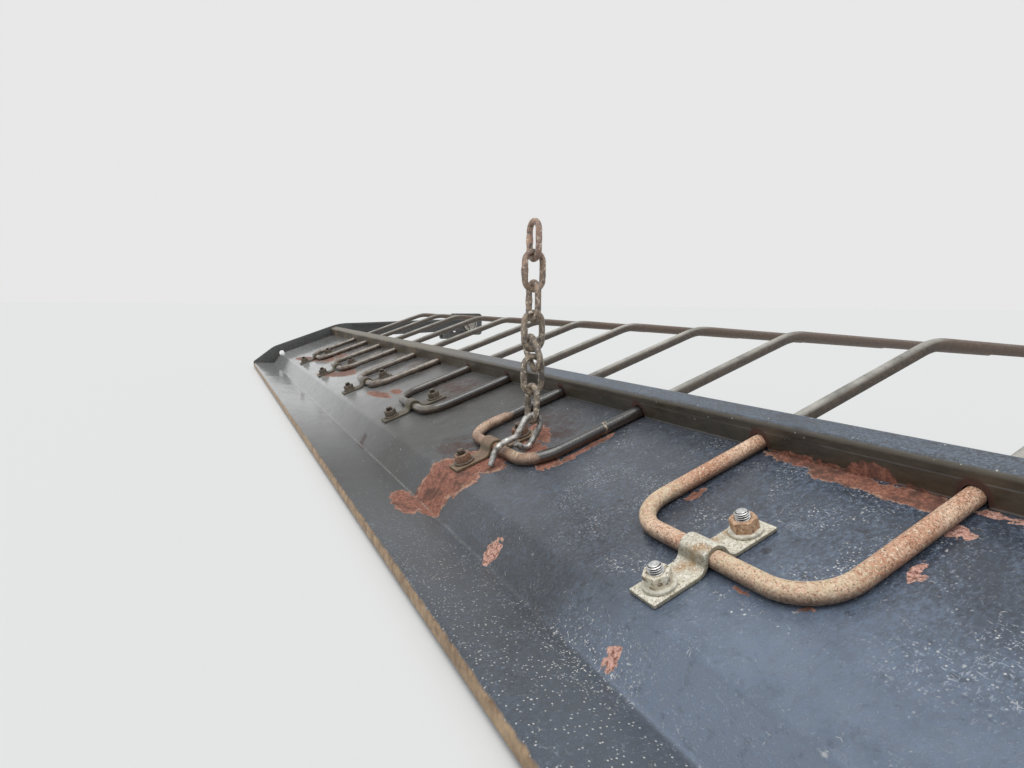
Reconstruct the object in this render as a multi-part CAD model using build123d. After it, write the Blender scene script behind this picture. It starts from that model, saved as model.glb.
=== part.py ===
from build123d import *
from math import atan2, cos, degrees, hypot, radians, sin
import os

os.makedirs("parts", exist_ok=True)

# Driving dimensions, in millimetres and degrees.
guard_width = 2114.0          # over the outer faces of the two arms
slope = 19.3                  # fall of the main panel towards its front edge, at rest on the stops
sheet = 3.0                   # sheet thickness
panel_length = 155.0          # rail face to second bend, down the slope
band_length = 33.0            # short steep band between the two bends
band_angle = 53.8             # fall of the band
lip_length = 55.5             # front lip
lip_rise = 2.8                # rise of the lip towards its front edge
return_height = 10.0          # the lip's front edge, turned down
return_radius = 2.0           # inside radius of that bend
bend_radius = 5.0             # inside radius of the sheet's bends

rail_height = 21.0            # rail over the panel
rail_depth = 19.0             # rail along the slope
rail_wall = 2.5
rail_bend = 1.0               # inside radius of its bends
hole_play = 0.8               # tine hole in the rail over the rod, all round

rod = 10.0                    # tine rod diameter
leg_pitch = 130.0             # from one tine leg to the next, the same inside a tine and between tines
tine_count = 6
front_margin = 18.0           # from the clamps' front bolts to the second bend
corner_radius = 27.0          # of the rod's centre line at the front corners
crest_run = 184.0             # rail face to the crest bend, up the slope
crest_radius = 68.0
rear_run = 320.0              # tine length behind the crest
rear_fall = 4.0               # fall of the rear run
seat_gap = 0.3                # between faces that only touch

strap = 2.5                   # clamp strap thickness
strap_width = 20.0
strap_length = 82.0
bolt_spacing = 58.0
strap_bend = 6.0              # between the clamp's hump and its feet
bolt_size = 8.0
hole_over = 1.0               # bolt hole over bolt
washer_size = 18.0
washer = 1.6
nut_height = 6.5
head_height = 5.3
stud_over = 4.0               # bolt end above the nut

arm = 6.0                     # arm plate thickness
arm_back = 433.0              # rail face back to the pivot
arm_lift = 29.0               # pivot above the panel's rear edge
arm_depth = 38.0
eye_radius = 26.0
arm_edge = 26.0               # arm's top edge above the panel
flange_width = 24.0
flange = 5.0
hand_hole = 14.0              # in each end plate, near its front
knee_forward = 12.0           # the end plate's knee in front of the second bend
knee_radius = 60.0
shoulder_back = 4.0           # its shoulder behind the arm's edge height
shoulder_radius = 150.0
heel_back = 60.0              # the arm's lower corner, behind the rail face
heel_radius = 40.0
plate_over = 3.0              # end plate over the lip's front edge
plate_under = 2.0             # end plate under the sheet
ledge_back = 40.0             # start of the arm's flange behind the shoulder

pin = 20.0                    # pivot pin diameter
pin_play = 0.05               # radial
bush_wall = 7.0
bush_length = 26.0
bracket = 8.0
bracket_hole = 13.0
bracket_pitch = 80.0          # holes along the machine
bracket_rise = 40.0           # and up
bracket_edge = 15.0           # hole centre to plate edge
collar_length = 3.5
linch_head = 4.5
stop_size = 20.0
stop_reach = 75.0             # stop in front of the pivot

wire = 5.5                    # chain wire
link_pitch = 25.0             # link's inside length
link_width = 22.0             # outside
link_count = 7
hook_wire = 5.0
hook_play = 3.2               # between the hook and the tine bar that it lies over
hook_width = 15.3             # the hook's eye at the wire's centre
hook_length = 28.8
hook_lean = 60.0              # the eye's lean from level
hook_bend = 17.5              # radius of the part over the bar
slack_link = 3                # the link that the chain sags at
hook_from_middle = 414.0      # chain plane from the guard's middle

# Places that follow from them. The row's origin is the left bracket's mounting face on the pivot's axis.
cross_bar = panel_length - front_margin - bolt_spacing / 2  # tine's front bar, down from the rail face
arm_face = guard_width / 2
wall_gap = 14.5               # arm to bracket
bracket_face = arm_face + wall_gap + bracket
middle = -bracket_face        # the guard's middle plane along X
leg_hole = rod / 2 + seat_gap
washer_face = arm_face + wall_gap - collar_length - bush_length - seat_gap * 2
linch_at = washer_face - 3 - seat_gap - 2.4


def at_slope(down, up):
    """Y and Z of a point that far down the panel from the rail face and that far off its top."""
    y = -arm_back - down * cos(radians(slope)) - up * sin(radians(slope))
    z = -arm_lift - down * sin(radians(slope)) + up * cos(radians(slope))
    return (y, z)


def step(point, run, fall):
    """The point that far in front of another, falling by an angle."""
    return (point[0] - run * cos(radians(fall)), point[1] - run * sin(radians(fall)))


def rounded(corners):
    """A closed outline from corners given as (y, z, radius), where a radius of nought stays sharp."""
    face = make_face(Polyline(*[(y, z) for y, z, radius in corners], close=True))
    for y, z, radius in corners:
        if radius:
            face = fillet(face.vertices().sort_by_distance((y, z, 0))[0], radius)
    return face


def slab(outline, low, high):
    """An outline drawn across the guard, extruded from one X to another."""
    return Pos(low, 0, 0) * extrude(Plane.YZ * outline, amount=high - low, dir=(1, 0, 0))


def strip(line, thickness, bends):
    """The outline of a bent strip: its outer side's points, and the inside radius of each bend."""
    normals = []
    for (y0, z0), (y1, z1) in zip(line, line[1:]):
        run = hypot(y1 - y0, z1 - z0)
        normals.append((-(z1 - z0) / run, (y1 - y0) / run))
    near, far = [], []
    befores = [normals[0]] + normals
    afters = normals + [normals[-1]]
    for (y, z), a, b, inside in zip(line, befores, afters, [0, *bends, 0]):
        scale = thickness / (1 + a[0] * b[0] + a[1] * b[1])
        left_turn = a[0] * b[1] - a[1] * b[0] > 0
        outside = inside + thickness if inside else 0
        near.append((y, z, outside if left_turn else inside))
        far.append((y + (a[0] + b[0]) * scale, z + (a[1] + b[1]) * scale, inside if left_turn else outside))
    return rounded(near + far[::-1])


def save(shape, name):
    shape.label = name
    export_step(shape, "parts/" + name + ".step")


# The sheet's upper surface, from its rear edge under the rail to the turned-down front edge of the lip.
rear_edge = at_slope(-rail_depth, 0)
second_bend = at_slope(panel_length, 0)
first_bend = step(second_bend, band_length, band_angle)
lip_edge = step(first_bend, lip_length, -lip_rise)
lip_low = (lip_edge[0], lip_edge[1] - return_height)

leg_places = [(n - (tine_count * 2 - 1) / 2) * leg_pitch for n in range(tine_count * 2)]
tine_places = [(leg_places[2 * n] + leg_places[2 * n + 1]) / 2 for n in range(tine_count)]
# How far each clamp sits off its tine's middle, from the right end to the left.
clamp_offsets = [-8.0, 6.0, 6.0, 6.0, -8.0, -2.0]
clamp_places = [place + off for place, off in zip(tine_places, clamp_offsets)]
bolt_downs = {"front": cross_bar + bolt_spacing / 2, "rear": cross_bar - bolt_spacing / 2}
panel_plane = Plane(origin=(middle, *at_slope(0, 0)), x_dir=(1, 0, 0),
                    z_dir=(0, -sin(radians(slope)), cos(radians(slope))))


def on_panel(x, down, up=0):
    """A place on the panel: across from the middle, down the slope, off it. Local Y runs up the slope."""
    return panel_plane * Pos(x, -down, up)


def guard_sheet():
    inner = arm_face - arm
    line = [rear_edge, second_bend, first_bend, lip_edge, lip_low]
    body = slab(strip(line, sheet, [bend_radius, bend_radius, return_radius]), middle - inner, middle + inner)
    for place in clamp_places:
        for down in bolt_downs.values():
            body -= on_panel(place, down) * Cylinder((bolt_size + hole_over) / 2, sheet * 4)
    return body


def tine_rail():
    """A channel laid open side down along the sheet's rear edge, with an arched hole for each tine leg."""
    inner = arm_face - arm
    corners = [(-rail_depth, 0), (-rail_depth, rail_height), (0, rail_height), (0, 0)]
    line = [at_slope(down, up) for down, up in corners]
    body = slab(strip(line, rail_wall, [rail_bend, rail_bend]), middle - inner, middle + inner)
    hole = rod / 2 + hole_play
    arch = Circle(hole) + Pos(0, -hole) * Rectangle(hole * 2, hole * 2)
    cutter = extrude(Plane.XZ * arch, amount=rail_depth * 2, both=True)
    for place in leg_places:
        body -= on_panel(place, 0, leg_hole) * cutter
    return body


def tine(place):
    """A rod bent to a U that lies on the panel, with both legs cranked level behind the rail."""
    half = leg_pitch / 2
    bar = at_slope(cross_bar, leg_hole)
    crest = at_slope(-crest_run, leg_hole)
    end = step(crest, -rear_run, -rear_fall)
    left, right = middle + place + half, middle + place - half
    route = [(right, *end), (right, *crest), (right, *bar), (left, *bar), (left, *crest), (left, *end)]
    path = FilletPolyline(*route, radius=[crest_radius, corner_radius, corner_radius, crest_radius])
    section = Plane(origin=path @ 0, z_dir=path % 0) * Circle(rod / 2)
    return sweep(section, path=path)


def saddle(radius, level, bend):
    """Everything under a level and within a radius of the rod's centre, the two rounded into each other."""
    under = Pos(0, level) * Rectangle(strap_length * 2, strap_length, align=(Align.CENTER, Align.MAX))
    shape = under + Pos(0, leg_hole) * Circle(radius)
    meeting = [v for v in shape.vertices() if abs(v.X) < strap_length / 2 and abs(v.Y - level) < 0.01]
    return fillet(meeting, bend)


def clamp(place):
    """A flat strap pressed over the rod, with a bolt hole in each foot."""
    hug = rod / 2 + seat_gap
    profile = saddle(hug + strap, seat_gap + strap, strap_bend) - saddle(hug, seat_gap, strap_bend + strap)
    profile &= Rectangle(strap_length, strap_length)
    body = extrude(Plane.YZ * profile, amount=strap_width / 2, both=True)
    for sign in (-1, 1):
        body -= Pos(0, sign * bolt_spacing / 2, 0) * Cylinder((bolt_size + hole_over) / 2, strap * 8)
    return on_panel(place, cross_bar) * body


def hex_block(height):
    """A hexagon whose corners are chamfered at the top."""
    across = bolt_size * 1.625
    block = extrude(RegularPolygon(across / 2, 6, major_radius=False), amount=height)
    top = across * 0.475
    cone = Cone(top + height * 1.732, top, height, align=(Align.CENTER, Align.CENTER, Align.MIN))
    return block & cone


def clamp_bolt(place, down):
    stand = (Align.CENTER, Align.CENTER, Align.MIN)
    under = -sheet - seat_gap
    over = strap + seat_gap * 2
    top = over + washer + nut_height + stud_over
    shank = Cylinder(bolt_size / 2, top - under, align=stand)
    shank = chamfer(shank.edges().group_by(Axis.Z)[-1], bolt_size / 9)
    body = Pos(0, 0, under) * (shank + Rot(180, 0, 0) * hex_block(head_height))
    body += Pos(0, 0, over) * Cylinder(washer_size / 2, washer, align=stand)
    body += Pos(0, 0, over + washer) * hex_block(nut_height)
    return on_panel(place, down) * body


shoulder = at_slope(-arm_edge - shoulder_back, arm_edge)
eye_back = -eye_radius * 0.2


def arm_top(y):
    """Height of the arm's upper edge between its shoulder and the pivot eye."""
    share = (y - shoulder[0]) / (eye_back - shoulder[0])
    return shoulder[1] + (arm_depth / 2 - shoulder[1]) * share


def arm_bottom(y):
    """Height of the arm's lower edge there."""
    start = (-arm_back + heel_back, -arm_lift - arm)
    return start[1] + (-arm_depth / 2 - start[1]) * (y - start[0]) / (eye_back - start[0])


def end_arm(hand):
    """The end plate and pivot arm: +1 is the left one, -1 the right one."""
    under = sheet + plate_under
    corners = [
        (lip_edge[0], lip_edge[1] + plate_over, 0),
        (*at_slope(panel_length + knee_forward, arm_edge), knee_radius),
        (*shoulder, shoulder_radius),
        (eye_back, arm_depth / 2, 0),
        (eye_back, -arm_depth / 2, 0),
        (-arm_back + heel_back, arm_bottom(-arm_back + heel_back), heel_radius),
        (*at_slope(0, -under), 0),
        (second_bend[0], second_bend[1] - under * 1.3, 0),
        (first_bend[0] - bend_radius + 1, first_bend[1] - return_height, 0),
        (*lip_low, 0),
    ]
    body = slab(rounded(corners) + Circle(eye_radius), 0, arm)
    hole = Rot(0, 90, 0) * Cylinder(hand_hole / 2, arm * 3)
    body -= Pos(arm / 2, second_bend[0] + 2, second_bend[1] + 2) * hole
    body -= Pos(arm / 2, 0, 0) * Rot(0, 90, 0) * Cylinder(pin / 2 + pin_play + bush_wall, arm * 3)
    body = Pos(middle + (arm_face - arm if hand > 0 else -arm_face), 0, 0) * body
    # The stiffening flange along the arm's top edge turns inwards.
    front, back = shoulder[0] + ledge_back, -eye_radius * 1.2
    ledge = Polyline((front, arm_top(front)), (back, arm_top(back)), (back, arm_top(back) - flange),
                     (front, arm_top(front) - flange), close=True)
    low = arm_face - arm - flange_width if hand > 0 else -arm_face + arm
    return body + slab(make_face(ledge), middle + low, middle + low + flange_width)


def bush(hand):
    ring = Circle(pin / 2 + pin_play + bush_wall) - Circle(pin / 2 + pin_play)
    outer = arm_face + wall_gap - collar_length - seat_gap
    start = outer - bush_length if hand > 0 else -outer
    return slab(ring, middle + start, middle + start + bush_length)


def wall_bracket(hand):
    """The plate that bolts to the pick-up's side wall, with an ear in front for the stop."""
    plate = Rectangle(bracket_pitch + bracket_edge * 2, bracket_rise + bracket_edge * 2)
    plate = fillet(plate.vertices(), bracket_edge * 0.7)
    ear = Rectangle(stop_size * 3, stop_size * 1.5)
    ear_at = (-stop_reach + stop_size * 0.7, arm_bottom(-stop_reach) - stop_size / 2)
    plate += Pos(*ear_at) * fillet(ear.vertices(), 6)
    for y in (-1, 1):
        for z in (-1, 1):
            plate -= Pos(y * bracket_pitch / 2, z * bracket_rise / 2) * Circle(bracket_hole / 2)
    plate -= Circle(pin / 2)
    start = bracket_face - bracket if hand > 0 else -bracket_face
    return slab(plate, middle + start, middle + start + bracket)


def rest_stop(hand):
    """The block under the arm, welded to the bracket."""
    highest = arm_bottom(-stop_reach - stop_size / 2) - seat_gap
    block = Pos(-stop_reach, highest - stop_size / 2) * Rectangle(stop_size, stop_size)
    low = arm_face - arm - 4
    high = bracket_face - bracket
    start = low if hand > 0 else -high
    return slab(block, middle + start, middle + start + high - low)


def pivot_pin(hand):
    """A collared pin, fixed in the bracket and cross-drilled for its linch pin."""
    stand = (Align.CENTER, Align.CENTER, Align.MIN)
    inner = arm_face + wall_gap - collar_length - bush_length - 14
    body = Rot(0, 90, 0) * Cylinder(pin / 2, bracket_face - inner, align=stand)
    collar_at = arm_face + wall_gap - collar_length - inner
    body += Pos(collar_at, 0, 0) * Rot(0, 90, 0) * Cylinder(pin / 2 + 5, collar_length, align=stand)
    body -= Pos(linch_at - inner, 0, 0) * Cylinder(2.5, pin * 2)
    if hand < 0:
        body = mirror(body, Plane.YZ)
    return Pos(middle + inner * hand, 0, 0) * body


def pin_washer(hand):
    ring = Circle(pin * 0.85) - Circle(pin / 2 + pin_play)
    start = washer_face - 3 if hand > 0 else -washer_face
    return slab(ring, middle + start, middle + start + 3)


def linch_pin(hand):
    """A short pin across the pivot pin, with a round head."""
    head = pin * 0.85 + linch_head + 1
    low = -pin / 2 - 8
    body = Pos(0, 0, low) * Cylinder(2.4, head - low, align=(Align.CENTER, Align.CENTER, Align.MIN))
    body += Pos(0, 0, head) * Sphere(linch_head)
    return Pos(middle + linch_at * hand, 0, 0) * body


# The hook's wire runs in one plane across the guard. Its points are worked out from the tine bar's centre.
hook_x = middle + hook_from_middle
bar_y, bar_z = at_slope(cross_bar, leg_hole)
pass_by = rod / 2 + hook_wire / 2 + hook_play
along = (cos(radians(hook_lean)), sin(radians(hook_lean)))
across = (along[1], -along[0])
neck = (pass_by * 0.71, pass_by * 1.26)       # where the eye's straight side bends into the part over the bar
front_bend = (-pass_by * 0.97, pass_by * 0.70)
eye_foot = hook_length * 0.18                 # the eye's lower end, below the neck


def from_neck(up, aside):
    """A point of the hook's eye, along its lean and across it, from the neck."""
    return (neck[0] + along[0] * up + across[0] * aside, neck[1] + along[1] * up + across[1] * aside)


ring_y = bar_y + from_neck(hook_length - eye_foot - hook_width / 2, hook_width / 2)[0]
ring_top = bar_z + from_neck(hook_length - eye_foot - hook_width / 2, hook_width / 2)[1] + hook_width / 2


def chain_hook():
    """Wire bent to a long eye round the lowest link, then over the tine's bar and down to the sheet."""
    turn = radians(hook_lean + 12)
    down_way = (-cos(turn), -sin(turn))
    clear = leg_hole - front_bend[0] * sin(radians(slope)) + front_bend[1] * cos(radians(slope))
    sinking = down_way[0] * sin(radians(slope)) - down_way[1] * cos(radians(slope))
    run = (clear - hook_wire / 2 * (1 - sinking ** 2) ** 0.5 - seat_gap) / sinking
    tip = (front_bend[0] + down_way[0] * run, front_bend[1] + down_way[1] * run)
    corners = [from_neck(-eye_foot, hook_width * 0.12), from_neck(-eye_foot, hook_width),
               from_neck(hook_length - eye_foot, hook_width), from_neck(hook_length - eye_foot, 0),
               neck, front_bend, tip]
    half = hook_width / 2 - 0.1
    path = FilletPolyline(*[(hook_x, bar_y + y, bar_z + z) for y, z in corners],
                          radius=[half, half, half, hook_wire * 1.2, hook_bend])
    section = Plane(origin=path @ 0, z_dir=path % 0) * Circle(hook_wire / 2)
    return sweep(section, path=path)


def link_heights():
    """The links' middles. Where the chain sags, the links either side of the slack one touch."""
    height = ring_top - hook_wire / 2 - seat_gap + link_pitch / 2
    heights = []
    for number in range(1, link_count + 1):
        heights.append(height)
        if number in (slack_link - 1, slack_link):
            height += (link_pitch + wire * 2 + seat_gap) / 2
        else:
            height += link_pitch - seat_gap
    return heights


def chain_link(number, height):
    """One oval link: odd ones lie across the chain, even ones along it. The slack one leans."""
    half = (link_width - wire) / 2
    oval = SlotCenterToCenter(link_pitch + wire - 2 * half, half * 2).wire()
    route = Plane(origin=(0, 0, 0), x_dir=(0, 0, 1), z_dir=(0, 1, 0) if number % 2 else (1, 0, 0)) * oval
    section = Plane(origin=route @ 0, z_dir=route % 0) * Circle(wire / 2)
    room = link_width / 2 - wire - wire / 2 - seat_gap
    lean = degrees(atan2(room * 2, wire)) if number == slack_link else 0
    return Pos(hook_x, ring_y, height) * Rot(0, -lean, 0) * sweep(section, path=route)


save(guard_sheet(), "guard_sheet")
save(tine_rail(), "tine_rail")
for number, place in enumerate(tine_places, 1):
    save(tine(place), f"tine_{number}")
for number, place in enumerate(clamp_places, 1):
    save(clamp(place), f"clamp_{number}")
    for spot, down in bolt_downs.items():
        save(clamp_bolt(place, down), f"bolt_{number}_{spot}")
for hand, name in ((1, "left"), (-1, "right")):
    save(end_arm(hand), f"arm_{name}")
    save(bush(hand), f"bush_{name}")
    save(wall_bracket(hand), f"bracket_{name}")
    save(rest_stop(hand), f"stop_{name}")
    save(pivot_pin(hand), f"pin_{name}")
    save(pin_washer(hand), f"washer_{name}")
    save(linch_pin(hand), f"linch_{name}")
for number, height in enumerate(link_heights(), 1):
    save(chain_link(number, height), f"link_{number}")
save(chain_hook(), "chain_hook")
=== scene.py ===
import bpy
import mathutils
from math import cos, hypot, pi, radians, sin
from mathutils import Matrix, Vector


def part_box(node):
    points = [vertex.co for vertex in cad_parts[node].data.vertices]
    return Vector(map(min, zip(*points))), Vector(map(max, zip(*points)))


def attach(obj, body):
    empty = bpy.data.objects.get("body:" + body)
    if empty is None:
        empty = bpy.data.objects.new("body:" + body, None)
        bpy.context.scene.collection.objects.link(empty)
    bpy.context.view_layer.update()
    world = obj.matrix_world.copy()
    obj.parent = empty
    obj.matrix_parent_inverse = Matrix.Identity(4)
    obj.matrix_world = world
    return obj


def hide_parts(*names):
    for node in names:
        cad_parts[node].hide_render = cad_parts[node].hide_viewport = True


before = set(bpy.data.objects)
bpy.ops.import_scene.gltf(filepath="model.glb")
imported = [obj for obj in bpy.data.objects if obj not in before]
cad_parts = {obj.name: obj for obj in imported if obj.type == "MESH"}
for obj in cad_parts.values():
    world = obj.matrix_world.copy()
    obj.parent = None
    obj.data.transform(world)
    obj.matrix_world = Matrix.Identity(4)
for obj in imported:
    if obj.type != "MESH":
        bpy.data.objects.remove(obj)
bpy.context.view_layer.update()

# View: the camera stands by the guard's left end, a hand's width above the sheet, and looks along it.
# It keeps the photograph's place and lens, for a frame of 1024 by 768.
bpy.ops.object.select_all(action="DESELECT")
bpy.ops.object.camera_add()
camera = bpy.context.object
camera.name = "camera"
right = mathutils.Vector((0.4261, 0.9047, 0.0081))
up = mathutils.Vector((-0.1152, 0.0454, 0.9923))
back = mathutils.Vector((0.8973, -0.4237, 0.1235))
camera.matrix_world = mathutils.Matrix((
    (right.x, up.x, back.x, -0.1963),
    (right.y, up.y, back.y, -0.7550),
    (right.z, up.z, back.z, 0.0633),
    (0, 0, 0, 1)))
camera.data.sensor_width = 36
focal_pixels = 633.0
camera.data.lens = focal_pixels * camera.data.sensor_width / 1024
camera.data.clip_start = 0.01
bpy.context.scene.camera = camera
bpy.context.scene.view_settings.view_transform = "Standard"

# Studio: a plain pale floor just under the guard's lip, one wide soft sun overhead and an even pale sky.
# Only the background colour differs for the camera and for reflections, so the metal is lit at a plain level.
bpy.ops.mesh.primitive_plane_add(size=400, location=(-1.08, 0, -0.1185))
floor = bpy.context.object
floor.name = "floor"
floor_paint = bpy.data.materials.new("pale_floor")
floor_paint.use_nodes = True
floor_paint.node_tree.nodes["Principled BSDF"].inputs["Base Color"].default_value = (0.74, 0.74, 0.73, 1)
floor_paint.node_tree.nodes["Principled BSDF"].inputs["Roughness"].default_value = 1.0
floor_paint.node_tree.nodes["Principled BSDF"].inputs["Specular IOR Level"].default_value = 0.0
floor.data.materials.append(floor_paint)
bpy.ops.object.light_add(type="SUN", rotation=(radians(16), radians(14), 0))
lamp = bpy.context.object
lamp.name = "wide_soft_sun"
lamp.data.angle = radians(55)
lamp.data.energy = 1.9
lamp.data.color = (1.0, 0.985, 0.96)
world = bpy.data.worlds.new("pale_sky")
bpy.context.scene.world = world
world.use_nodes = True
sky = world.node_tree
sky_light = sky.nodes["Background"]
sky_light.inputs["Color"].default_value = (0.90, 0.95, 1.0, 1)
sky_light.inputs["Strength"].default_value = 0.55
sky_seen = sky.nodes.new("ShaderNodeBackground")
sky_seen.inputs["Color"].default_value = (0.80, 0.805, 0.80, 1)
sky_ray = sky.nodes.new("ShaderNodeLightPath")
sky_mix = sky.nodes.new("ShaderNodeMixShader")
sky_both = sky.nodes.new("ShaderNodeMath")
sky_both.operation = "MAXIMUM"
sky.links.new(sky_ray.outputs["Is Camera Ray"], sky_both.inputs[0])
sky.links.new(sky_ray.outputs["Is Glossy Ray"], sky_both.inputs[1])
sky_all = sky.nodes.new("ShaderNodeMath")
sky_all.operation = "MAXIMUM"
sky.links.new(sky_both.outputs["Value"], sky_all.inputs[0])
sky.links.new(sky_ray.outputs["Is Transmission Ray"], sky_all.inputs[1])
sky.links.new(sky_all.outputs["Value"], sky_mix.inputs["Fac"])
sky.links.new(sky_light.outputs["Background"], sky_mix.inputs[1])
sky.links.new(sky_seen.outputs["Background"], sky_mix.inputs[2])
sky.links.new(sky_mix.outputs["Shader"], sky.nodes["World Output"].inputs["Surface"])

# Guard sheet: 3 mm steel, folded three times and painted satin charcoal, a little over two metres long.
# Crop and stones have scratched it, and a dust film lies on it. Round the clamps and beside the rods it is
# bare down to red-brown primer, one bend is rubbed pale, and the front edge has rusted. Its colour also holds
# painted reflections and shade: sky blue at the left end, pale sky far off, dark on the band and lip between.
slope = radians(19.3)
rail_face = (-0.433, -0.029)


def on_slope(down, up=0.0):
    """Y and Z of a point that far down the panel from the rail's face, and that far off its surface."""
    y, z = rail_face
    return (y - down * cos(slope) - up * sin(slope), z - down * sin(slope) + up * cos(slope))


def feed(socket, value):
    """A socket takes another node's output, a number or a colour."""
    if isinstance(value, bpy.types.NodeSocket):
        socket.id_data.links.new(value, socket)
    else:
        socket.default_value = value


def node(beside, kind, inputs, **settings):
    """A new shader node in the same tree as another, with its settings and inputs."""
    made = beside.id_data.nodes.new("ShaderNode" + kind)
    for name, value in settings.items():
        setattr(made, name, value)
    for name, value in inputs.items():
        feed(made.inputs[name], value)
    return made


def finish(name, roughness, metallic=0.0, ior=1.5):
    """A new finish: the material, its shader and each point's place on the object."""
    material = bpy.data.materials.new(name)
    material.use_nodes = True
    shader = material.node_tree.nodes["Principled BSDF"]
    shader.inputs["Roughness"].default_value = roughness
    shader.inputs["Metallic"].default_value = metallic
    shader.inputs["IOR"].default_value = ior
    return material, shader, node(shader, "TexCoord", {}).outputs["Object"]


def stretched(place, scale, turn=0.0):
    """The place squeezed along each axis and turned about Z, for marks that run one way."""
    inputs = {"Vector": place, "Scale": scale, "Rotation": (0, 0, radians(turn))}
    return node(place, "Mapping", inputs).outputs[0]


def spread(value, low, high, first=0.0, last=1.0):
    """A value mapped from one range to another and held there."""
    ends = {"Value": value, "From Min": low, "From Max": high, "To Min": first, "To Max": last}
    return node(value, "MapRange", ends, clamp=True).outputs[0]


def grain(place, scale, detail=4.0, rough=0.55, low=0.35, high=0.65):
    """Cloudy noise, spread from nought to one between two of its levels."""
    noise = node(place, "TexNoise", {"Vector": place, "Scale": scale, "Detail": detail, "Roughness": rough})
    return spread(noise.outputs["Fac"], low, high)


def blend(share, first, second):
    """One colour going over to another."""
    mix = node(share, "Mix", {0: share}, data_type="RGBA", clamp_factor=True)
    for socket, value in ((mix.inputs[6], first), (mix.inputs[7], second)):
        feed(socket, value if isinstance(value, bpy.types.NodeSocket) else (*value, 1))
    return mix.outputs[2]


def sums(kind, first, *others):
    """Values put together one after another by a kind of sum."""
    for other in others:
        first = node(first, "Math", {0: first, 1: other}, operation=kind).outputs[0]
    return first


def times(*values):
    """The product of some values."""
    return sums("MULTIPLY", *values)


def plus(*values):
    """The sum of some values."""
    return sums("ADD", *values)


def most(*values):
    """The greatest of some values."""
    return sums("MAXIMUM", *values)


def axes(place):
    """X, Y and Z of a place or a direction, each a value of its own."""
    return node(place, "SeparateXYZ", {"Vector": place}).outputs


def specks(place, scale, size, share):
    """Round flecks, one to a cell, in only some of the cells."""
    cells = node(place, "TexVoronoi", {"Vector": place, "Scale": scale, "Randomness": 1.0})
    dot = spread(cells.outputs["Distance"], size, size * 0.55)
    chosen = node(place, "SeparateColor", {"Color": cells.outputs["Color"]}).outputs[0]
    return times(dot, spread(chosen, 1 - share, 1 - share + 0.02))


def ragged(place, amount, scale):
    """The place pushed about by noise, so that what is drawn on it gets torn edges."""
    noise = node(place, "TexNoise", {"Vector": place, "Scale": scale, "Detail": 5.0, "Roughness": 0.62})
    push = node(place, "VectorMath", {0: noise.outputs["Color"], 1: (0.5, 0.5, 0.5)}, operation="SUBTRACT")
    push = node(place, "VectorMath", {0: push.outputs[0], 1: (amount, amount, amount)}, operation="MULTIPLY")
    return node(place, "VectorMath", {0: place, 1: push.outputs[0]}, operation="ADD").outputs[0]


def spots_at(place, spots):
    """Distance from the nearest of some ovals, one on their edge. Each is x, y, half lengths and a turn."""
    reaches = []
    for x, y, half_x, half_y, turn in spots:
        inputs = {"Vector": place, "Location": (x, y, 0), "Rotation": (0, 0, radians(turn)),
                  "Scale": (half_x, half_y, 10)}
        oval = node(place, "Mapping", inputs, vector_type="TEXTURE")
        reaches.append(node(place, "VectorMath", {0: oval.outputs[0]}, operation="LENGTH").outputs["Value"])
    return sums("MINIMUM", *reaches)


def along_line(place, y, z, reach):
    """One on a line across the guard at that Y and Z, falling to nought at a reach from it."""
    flat = node(place, "VectorMath", {0: place, 1: (0, 1, 1)}, operation="MULTIPLY").outputs[0]
    far = node(place, "VectorMath", {0: flat, 1: (0, y, z)}, operation="DISTANCE").outputs["Value"]
    return spread(far, reach, reach * 0.25)


def primer_on(place):
    """The colour of red-brown primer, with darker rust in it."""
    primer = blend(grain(place, 420, 5, 0.8, 0.42, 0.58), (0.155, 0.050, 0.032), (0.36, 0.155, 0.100))
    return blend(grain(place, 80, 4, 0.65, 0.50, 0.64), primer, (0.105, 0.045, 0.030))


def show(shader, colour, roughness=None):
    """The colour goes to the shader, and the roughness too where it isn't the same all over."""
    feed(shader.inputs["Base Color"], colour)
    if roughness:
        feed(shader.inputs["Roughness"], roughness)


def relief(shader, height, depth, before=None):
    """Bumps of a real depth from a height, over any that came before."""
    made = node(shader, "Bump", {"Height": height, "Distance": depth, "Strength": 1.0})
    if before:
        feed(made.inputs["Normal"], before)
    feed(shader.inputs["Normal"], made.outputs[0])
    return made.outputs[0]


def dress(material, *nodes):
    """The CAD solids of those names take the material."""
    for name in nodes:
        for slot in bpy.data.objects[name].material_slots:
            slot.material = material


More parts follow.
